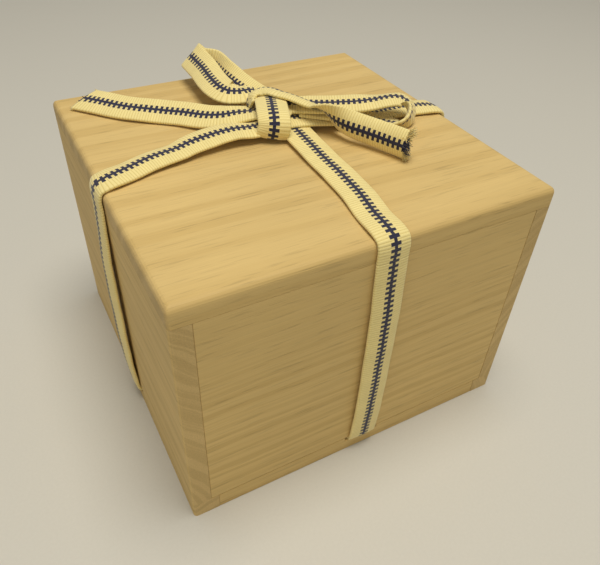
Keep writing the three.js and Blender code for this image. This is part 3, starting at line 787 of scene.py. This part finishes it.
RIGHT_TAIL_STOPS = [
    [-4.7, 18, 5.2, 0.45, 0.52, -0.72, 1.4],
    [-5, 20.7, 7, 0.16, 0.66, -0.73, 1.7],
    [-3.7, 21.9, 9, 0.21, 0.72, -0.66, 1.8],
    [-0.6, 22.5, 10.4, 0.21, 0.86, -0.47, 1.8],
    [2.5, 21.6, 11.2, 0.5, 0.78, -0.38, 1.6],
    [5.1, 19.3, 11.4, 0.74, 0.58, -0.35, 1.4],
    [7, 15.8, 11.2, 0.75, 0.54, -0.39, 1.3],
    [9.5, 12.7, 10.8, 0.66, 0.6, -0.46, 1.4],
    [12.2, 9.4, 10.2, 0.68, 0.57, -0.47, 1.5],
    [14.6, 5.7, 9.7, 0.7, 0.52, -0.49, 1.5],
    [16.4, 2.7, 9.2, 0.74, 0.39, -0.55, 1.3],
    [17.4, -1.1, 8.6, 0.64, 0.24, -0.73, 0.5],
    [18, -5.3, 7.9, 0.35, 0.22, -0.91, -0.6],
    [19, -8.8, 7.4, 0.1, 0.15, -0.98, -1.5],
    [20.9, -13, 7, -0.08, 0.05, -1, -2.1],
    [23.6, -17, 6.6, -0.14, -0.01, -0.99, -2.2],
    [26.8, -22.5, 6.3, -0.15, -0.04, -0.99, -2.1],
    [29.4, -27.4, 6.1, -0.13, -0.04, -0.99, -1.9],
    [31.6, -32.4, 6, -0.13, -0.04, -0.99, -1.8],
]

cord_weave = weave()
cream_yarn = yarn("cream_yarn", CREAM_LIGHT, CREAM_SHADE_AND_DARK_STRANDS)
navy_yarn = yarn("navy_yarn", NAVY_LIGHT, NAVY)


def tie_box():
    under = [
        [x, -0.8 - (40 - x) / 40 * 1.1, CORD_GROOVE_LEVEL, 0, 1, 0, 0.02]
        for x in (40, 0, -40)
    ]
    left_right = wrap(
        HALF_WIDTH,
        LEFT_SHIFTS,
        RIGHT_SHIFTS,
        lambda out, shift: (out, shift),
        (0, 1, 0),
        0.9,
        under,
        LEFT_RIGHT_STOPS,
    )
    names = "cord_side_left", "cord_top_left_right", "cord_side_right"
    wrap_pieces(left_right, 0, (*names, "cord_under_left_right"))
    under = [[1.9 + y / 60, y, 4.95, -1, 0, 0, 0.02] for y in (24, 0, -24)]
    front_back = wrap(
        HALF_DEPTH,
        FRONT_SHIFTS,
        BACK_SHIFTS,
        lambda out, shift: (shift, out),
        (-1, 0, 0),
        0.5,
        under,
        FRONT_BACK_STOPS,
    )
    names = "cord_side_front", "cord_top_front_back", "cord_side_back"
    wrap_pieces(front_back, 1, (*names, "cord_under_front_back"))


def tufts(name, roots, ways, lengths, navy):
    """Loose threads at a cord's cut end, each a thin three-sided tube that curls."""
    vertices, faces, kinds = [], [], []
    sides, joints = THREAD_SIDES, THREAD_JOINTS
    for root, way, length, is_navy in zip(roots, ways, lengths, navy):
        way = way / np.linalg.norm(way)
        aside = np.cross(way, (0.3, 0.2, 1.0))
        aside /= np.linalg.norm(aside)
        over = np.cross(way, aside)
        curl = rng.normal(0, THREAD_CURL, 2)
        start = len(vertices)
        for j in range(joints):
            t = j / (joints - 1)
            centre = root + way * length * t
            centre = centre + (aside * curl[0] + over * curl[1]) * length * t * t
            width = THREAD_RADIUS * (1 - 0.5 * t)
            for k in range(sides):
                angle = 2 * math.pi * k / sides
                vertices.append(
                    centre + width * (aside * math.cos(angle) + over * math.sin(angle))
                )
        for j in range(joints - 1):
            for k in range(sides):
                a = start + j * sides + k
                b = start + j * sides + (k + 1) % sides
                faces.append([a, b, b + sides, a + sides])
                kinds.append(int(is_navy))
        faces.append([start, start + 2, start + 1])
        top = start + (joints - 1) * sides
        faces.append([top, top + 1, top + 2])
        kinds += [int(is_navy)] * 2
    piece = mesh_piece(name, vertices, faces, [cream_yarn, navy_yarn])
    piece.data.polygons.foreach_set("material_index", kinds)
    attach(piece, "lid")
    return piece


def end_tufts(name, route, row, outward, count, length, spread, slant):
    """Threads along the cut at one end of a cord."""
    skin = bent(route, slant)[row]
    share = rng.uniform(0, 1, count)
    upper = skin[:UPPER_POINTS]
    at = share * (UPPER_POINTS - 1)
    low = np.clip(at.astype(int), 0, UPPER_POINTS - 2)
    part = (at - low)[:, None]
    roots = upper[low] * (1 - part) + upper[low + 1] * part
    roots = roots - route.up[row] * rng.uniform(0, 1.1, count)[:, None]
    roots = roots - outward * 0.6
    ways = outward + rng.normal(0, spread, (count, 3))
    lengths = length * rng.uniform(0.4, 1.0, count)
    navy = np.abs(share - 0.5) < NAVY_THREADS
    return tufts(name, roots, ways, lengths, navy)


def tail(side, stops, cut_row, threads, slant):
    """A free end of the bow, cut at its first or last row. threads are how many there are at
    the cut, their length and how far they spread."""
    route = Route(on_lid(stops))
    piece = cord_piece(f"woven_bow_tail_{side}", route, slant=slant)
    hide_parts(f"bow_tail_{side}")
    from_start = cut_row == 0
    outward = -route.along[0] if from_start else route.along[-1]
    fringe = end_tufts(f"tail_{side}_threads", route, cut_row, outward, *threads, slant)


def bow():
    band = cord_piece("woven_knot_band", Route(on_lid(BAND_STOPS)))
    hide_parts("bow_knot_band")
    loops = ("bow_loop_left", LEFT_LOOP_STOPS), ("bow_loop_right", RIGHT_LOOP_STOPS)
    for node_name, stops in loops:
        route = Route(on_lid(stops))
        piece = cord_piece(f"woven_{node_name}", route)
        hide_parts(node_name)
    tail("left", LEFT_TAIL_STOPS, 0, (60, 1.6, 0.25), 0.45)
    tail("right", RIGHT_TAIL_STOPS, -1, (230, 3.4, 0.3), 0.0)


def knot_core():
    """The folds of cord inside the knot, as a lump with their edges showing as ridges."""
    mesh = bpy.data.meshes.new("woven_knot_core")
    shape = bmesh.new()
    bmesh.ops.create_icosphere(shape, subdivisions=5, radius=1.0)
    for vertex in shape.verts:
        x, y, z = vertex.co
        ridge = 1 + 0.05 * math.sin(z * 9) - 0.03 * abs(math.sin(math.atan2(y, x) * 3))
        length, width, height = CORE_RADII
        vertex.co = Vector((x * length * ridge, y * width * ridge, z * height))
    shape.to_mesh(mesh)
    shape.free()
    turn = Matrix.Rotation(CORE_TURN, 4, "Z")
    place = Matrix.Translation((0, 0, BOX_HEIGHT)) @ Matrix.Translation(CORE_PLACE)
    local = np.array([v.co for v in mesh.vertices])
    mesh.transform(Matrix.Scale(MM, 4) @ place @ turn)
    mesh.materials.append(cord_weave)
    for polygon in mesh.polygons:
        polygon.use_smooth = True
    piece = bpy.data.objects.new("woven_knot_core", mesh)
    bpy.context.scene.collection.objects.link(piece)
    set_point_values(piece, "run", np.arctan2(local[:, 1], local[:, 0]) * CORE_RUN_RADIUS * MM)
    set_point_values(piece, "side", (local[:, 2] + CORE_STRIPE_DROP) * MM)
    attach(piece, "lid")
    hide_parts("bow_knot_core")


tie_box()
bow()
knot_core()


# Bowl


def quadratic(start, control, end, steps):
    start, control, end = (np.array(p, float) for p in (start, control, end))
    return [
        (1 - t) ** 2 * start + 2 * t * (1 - t) * control + t * t * end
        for t in np.linspace(0, 1, steps + 1)[1:]
    ]


def bowl_profile():
    """From the axis under the bowl, round the foot, up, over the rim and down the inside."""
    rim = BOWL_WALL / 2
    top = BOWL_HEIGHT - rim
    middle = (BOWL_HIP_HEIGHT + top) / 2
    inner_hip = BOWL_HIP_RADIUS - BOWL_WALL
    inside = BOWL_FOOT_HEIGHT + BOWL_FLOOR
    hip = (BOWL_HIP_RADIUS, BOWL_HIP_HEIGHT)
    points = [
        np.array(p, float)
        for p in (
            (0, BOWL_FOOT_HEIGHT),
            (BOWL_FOOT_RADIUS - BOWL_FOOT_WALL - 0.8, BOWL_FOOT_HEIGHT),
            (BOWL_FOOT_RADIUS - BOWL_FOOT_WALL, BOWL_FOOT_HEIGHT - 0.8),
            (BOWL_FOOT_RADIUS - BOWL_FOOT_WALL, 0.8),
            (BOWL_FOOT_RADIUS - BOWL_FOOT_WALL + 0.8, 0),
            (BOWL_FOOT_RADIUS - 0.8, 0),
            (BOWL_FOOT_RADIUS, 0.8),
            (BOWL_FOOT_RADIUS, BOWL_FOOT_HEIGHT),
        )
    ]
    points += quadratic(
        points[-1], (BOWL_HIP_RADIUS - BOWL_FOOT_WALL, BOWL_FOOT_HEIGHT + rim), hip, 18
    )
    points += quadratic(
        hip, (BOWL_RIM_RADIUS - rim, middle), (BOWL_RIM_RADIUS, top), 14
    )
    points += [
        np.array(
            (BOWL_RIM_RADIUS - rim + rim * math.cos(a), top + rim * math.sin(a))
        )
        for a in np.linspace(0, math.pi, 11)[1:]
    ]
    points += quadratic(
        points[-1],
        (BOWL_RIM_RADIUS - rim - BOWL_WALL, middle),
        (inner_hip, BOWL_HIP_HEIGHT),
        14,
    )
    points += quadratic(
        points[-1], (inner_hip - BOWL_FOOT_WALL, inside), (0, inside), 18
    )
    return np.array(points)


def turned(profile, segments):
    """The faces of a profile turned about the axis. Its first and last points are on it."""
    ring = profile[1:-1]
    angles = np.linspace(0, 2 * math.pi, segments, endpoint=False)
    vertices = [
        (r * math.cos(a), r * math.sin(a), z) for r, z in ring for a in angles
    ]
    faces = []
    for i in range(len(ring) - 1):
        for k in range(segments):
            a, b = i * segments + k, i * segments + (k + 1) % segments
            faces.append([a, b, b + segments, a + segments])
    first, last = len(vertices), len(vertices) + 1
    vertices += [(0, 0, profile[0][1]), (0, 0, profile[-1][1])]
    end = (len(ring) - 1) * segments
    for k in range(segments):
        after = (k + 1) % segments
        faces.append([first, after, k])
        faces.append([last, end + k, end + after])
    return np.array(vertices), faces


def tea_bowl():
    vertices, faces = turned(bowl_profile(), 96)
    vertices[:, 2] += BOWL_BOTTOM
    bowl_piece = mesh_piece("blown_tea_bowl", vertices, faces, [glass()])
    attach(bowl_piece, "bowl")
    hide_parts("tea_bowl")


tea_bowl()


# Cloth


def cloth_start():
    """The square laid cornerwise on the floor of the box, its corners folded up the walls."""
    cells = CLOTH_CELLS
    line = np.linspace(-CLOTH_SIDE / 2, CLOTH_SIDE / 2, cells + 1)
    s, t = np.meshgrid(line, line, indexing="ij")
    p = (s - t) * math.sqrt(0.5)
    q = (s + t) * math.sqrt(0.5)
    flat = np.stack([p, q, np.full_like(p, CLOTH_LEVEL)], axis=-1).reshape(-1, 3)
    lean = 0.05
    over_x = np.maximum(np.abs(p) - CLOTH_ROOM_X, 0)
    over_y = np.maximum(np.abs(q) - CLOTH_ROOM_Y, 0)
    x = np.sign(p) * (np.minimum(np.abs(p), CLOTH_ROOM_X) - lean * over_x)
    y = np.sign(q) * (np.minimum(np.abs(q), CLOTH_ROOM_Y) - lean * over_y)
    z = CLOTH_LEVEL + np.hypot(over_x, over_y)
    start = np.stack([x, y, z], axis=-1).reshape(-1, 3)
    index = np.arange((cells + 1) ** 2).reshape(cells + 1, cells + 1)
    quads = np.stack(
        [index[:-1, :-1], index[1:, :-1], index[1:, 1:], index[:-1, 1:]], axis=-1
    )
    return start, flat, quads.reshape(-1, 4).tolist()


def collider(name, vertices, faces):
    piece = mesh_piece(name, vertices, faces, [])
    piece.modifiers.new("collision", "COLLISION")
    piece.collision.thickness_outer = 0.0004
    piece.collision.cloth_friction = 20
    return piece


def drape(piece, flat):
    """Lets the cloth settle in the box round the bowl, and keeps what comes out."""
    wall_gap, floor_gap = 0.7, 0.8
    x, y = CLOTH_ROOM_X + wall_gap, CLOTH_ROOM_Y + wall_gap
    low, high = CLOTH_LEVEL - floor_gap, CLOTH_ROOM_TOP
    corners = [(-x, -y), (x, -y), (x, y), (-x, y)]
    shell = [(a, b, z) for z in (low, high) for a, b in corners]
    walls = [[k + 4, (k + 1) % 4 + 4, (k + 1) % 4, k] for k in range(4)]
    room = collider("cloth_room", shell, [[0, 1, 2, 3]] + walls)
    body, body_faces = turned(bowl_profile(), 48)
    body[:, 2] += BOWL_BOTTOM
    bowl_body = collider("cloth_bowl", body, body_faces)
    piece.shape_key_add(name="laid")
    unfolded = piece.shape_key_add(name="flat")
    unfolded.data.foreach_set("co", (flat * MM).ravel())
    cloth = piece.modifiers.new("cloth", "CLOTH")
    settings = cloth.settings
    settings.quality = 10
    settings.mass = 0.02
    settings.tension_stiffness = 40
    settings.compression_stiffness = 40
    settings.shear_stiffness = 20
    settings.bending_stiffness = 10
    settings.air_damping = 4
    settings.rest_shape_key = unfolded
    cloth.collision_settings.distance_min = 0.0006
    cloth.collision_settings.collision_quality = 3
    cloth.point_cache.frame_start = 1
    cloth.point_cache.frame_end = CLOTH_FRAMES
    scene = bpy.context.scene
    for number in range(1, CLOTH_FRAMES + 1):
        scene.frame_set(number)
    shaped = piece.evaluated_get(bpy.context.evaluated_depsgraph_get())
    settled = np.array([v.co for v in shaped.data.vertices])
    piece.modifiers.clear()
    piece.shape_key_clear()
    piece.data.vertices.foreach_set("co", settled.ravel())
    for part in (room, bowl_body):
        bpy.data.objects.remove(part)
    scene.frame_set(1)


def wrapping_cloth():
    start, flat, faces = cloth_start()
    piece = mesh_piece("cotton_wrapping_cloth", start, faces, [cotton()])
    lie = piece.data.attributes.new("lie", "FLOAT_VECTOR", "POINT")
    turned_flat = np.stack(
        [flat[:, 0] + flat[:, 1], flat[:, 1] - flat[:, 0], 0 * flat[:, 0]], axis=-1
    )
    lie.data.foreach_set("vector", (turned_flat * math.sqrt(0.5) * MM).ravel())
    drape(piece, flat)
    thick = piece.modifiers.new("thickness", "SOLIDIFY")
    thick.thickness = CLOTH_THICKNESS * MM
    thick.offset = 0
    smooth = piece.modifiers.new("smooth", "SUBSURF")
    smooth.levels = 1
    smooth.render_levels = 1
    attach(piece, "box")
    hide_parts("wrapping_cloth")


wrapping_cloth()


# Stage


def floor():
    s = Shader("floor_paper")
    fleck = s.noise(s.point, 900.0, 3.0)
    colour = s.mix(fleck, FLOOR_DARK, FLOOR_LIGHT)
    material = s.finish(Base_Color=colour, Roughness=0.7)
    size = 4000
    corners = [(-size, -size, 0), (size, -size, 0), (size, size, 0), (-size, size, 0)]
    piece = mesh_piece("floor", corners, [[0, 1, 2, 3]], [material])


def light(name, place, aim, size, power, colour):
    lamp = bpy.data.lights.new(name, "AREA")
    lamp.shape = "DISK"
    lamp.size = size
    lamp.energy = power
    lamp.color = colour
    holder = bpy.data.objects.new(name, lamp)
    holder.location = place
    toward = Vector(aim) - Vector(place)
    holder.rotation_euler = toward.to_track_quat("-Z", "Y").to_euler()
    bpy.context.scene.collection.objects.link(holder)


def sky(strength):
    world = bpy.data.worlds.new("room")
    world.use_nodes = True
    background = world.node_tree.nodes["Background"]
    background.inputs["Color"].default_value = (*DAYLIGHT, 1)
    background.inputs["Strength"].default_value = strength
    bpy.context.scene.world = world


floor()
box_middle = (0, 0, 0.05)
light("soft_box", (0.04, -0.1, 1.3), box_middle, size=0.7, power=12.0, colour=DAYLIGHT)
light("fill", (-0.7, -0.9, 0.6), box_middle, size=0.8, power=1.9, colour=FILL_LIGHT)
sky(strength=0.25)
bpy.context.scene.view_settings.view_transform = "Standard"
